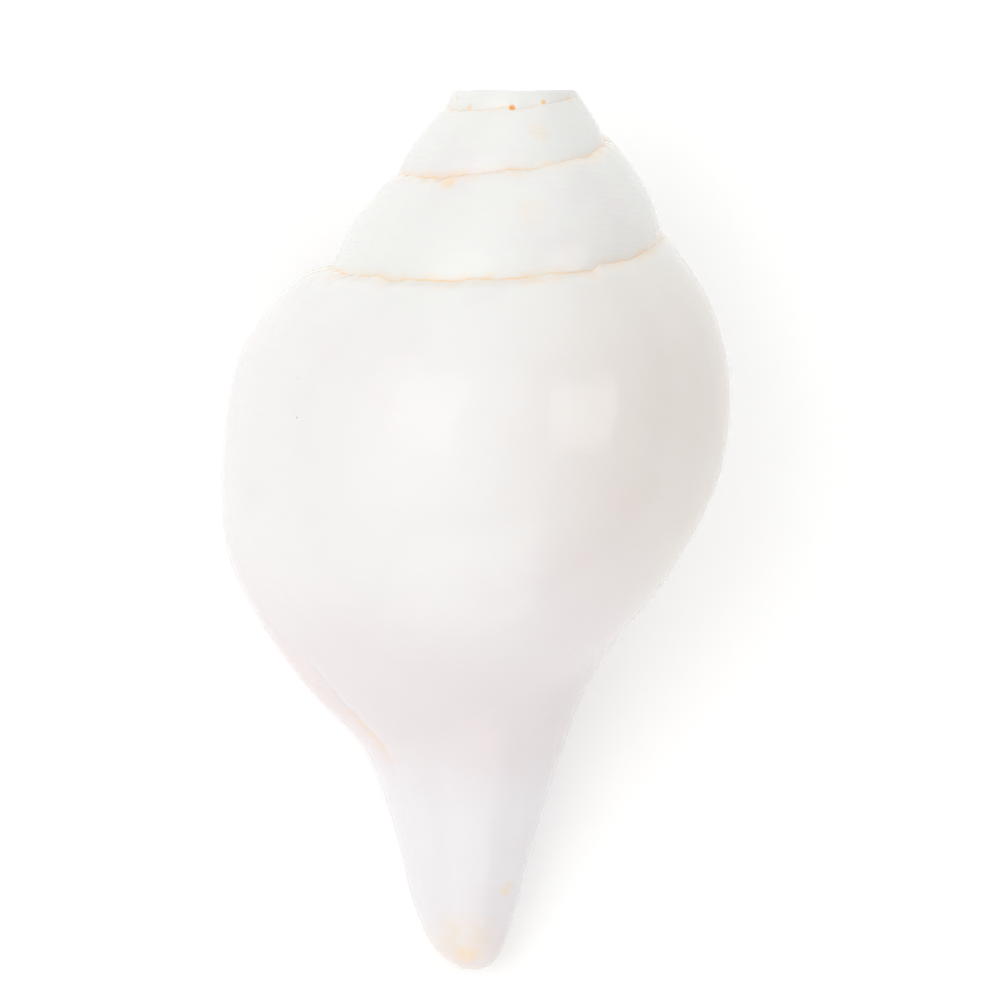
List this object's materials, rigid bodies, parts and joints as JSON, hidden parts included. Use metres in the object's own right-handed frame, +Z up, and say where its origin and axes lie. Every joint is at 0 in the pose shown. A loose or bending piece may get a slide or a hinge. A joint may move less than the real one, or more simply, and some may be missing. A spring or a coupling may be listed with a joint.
{
  "type": "conch shell",
  "caption": "Polished white blowing conch lying on its aperture, with a ground-off apex, a blow hole, a long oval aperture and a tapering canal.",
  "frame": {"origin": "bottom centre of the bounding box, on the surface the shell lies on", "axes": "+Z up, +Y towards the cut apex along the shell's length, -Y towards the canal tip, -X on the side of the outer lip"},
  "size_m": [0.0862, 0.1518, 0.0734],
  "materials": {
    "polished_shell": "polished porcelain-like shell, faint peach staining in the sutures and at the canal tip"
  },
  "bodies": {
    "root": {"conch_shell": "polished_shell"}
  },
  "joints": []
}
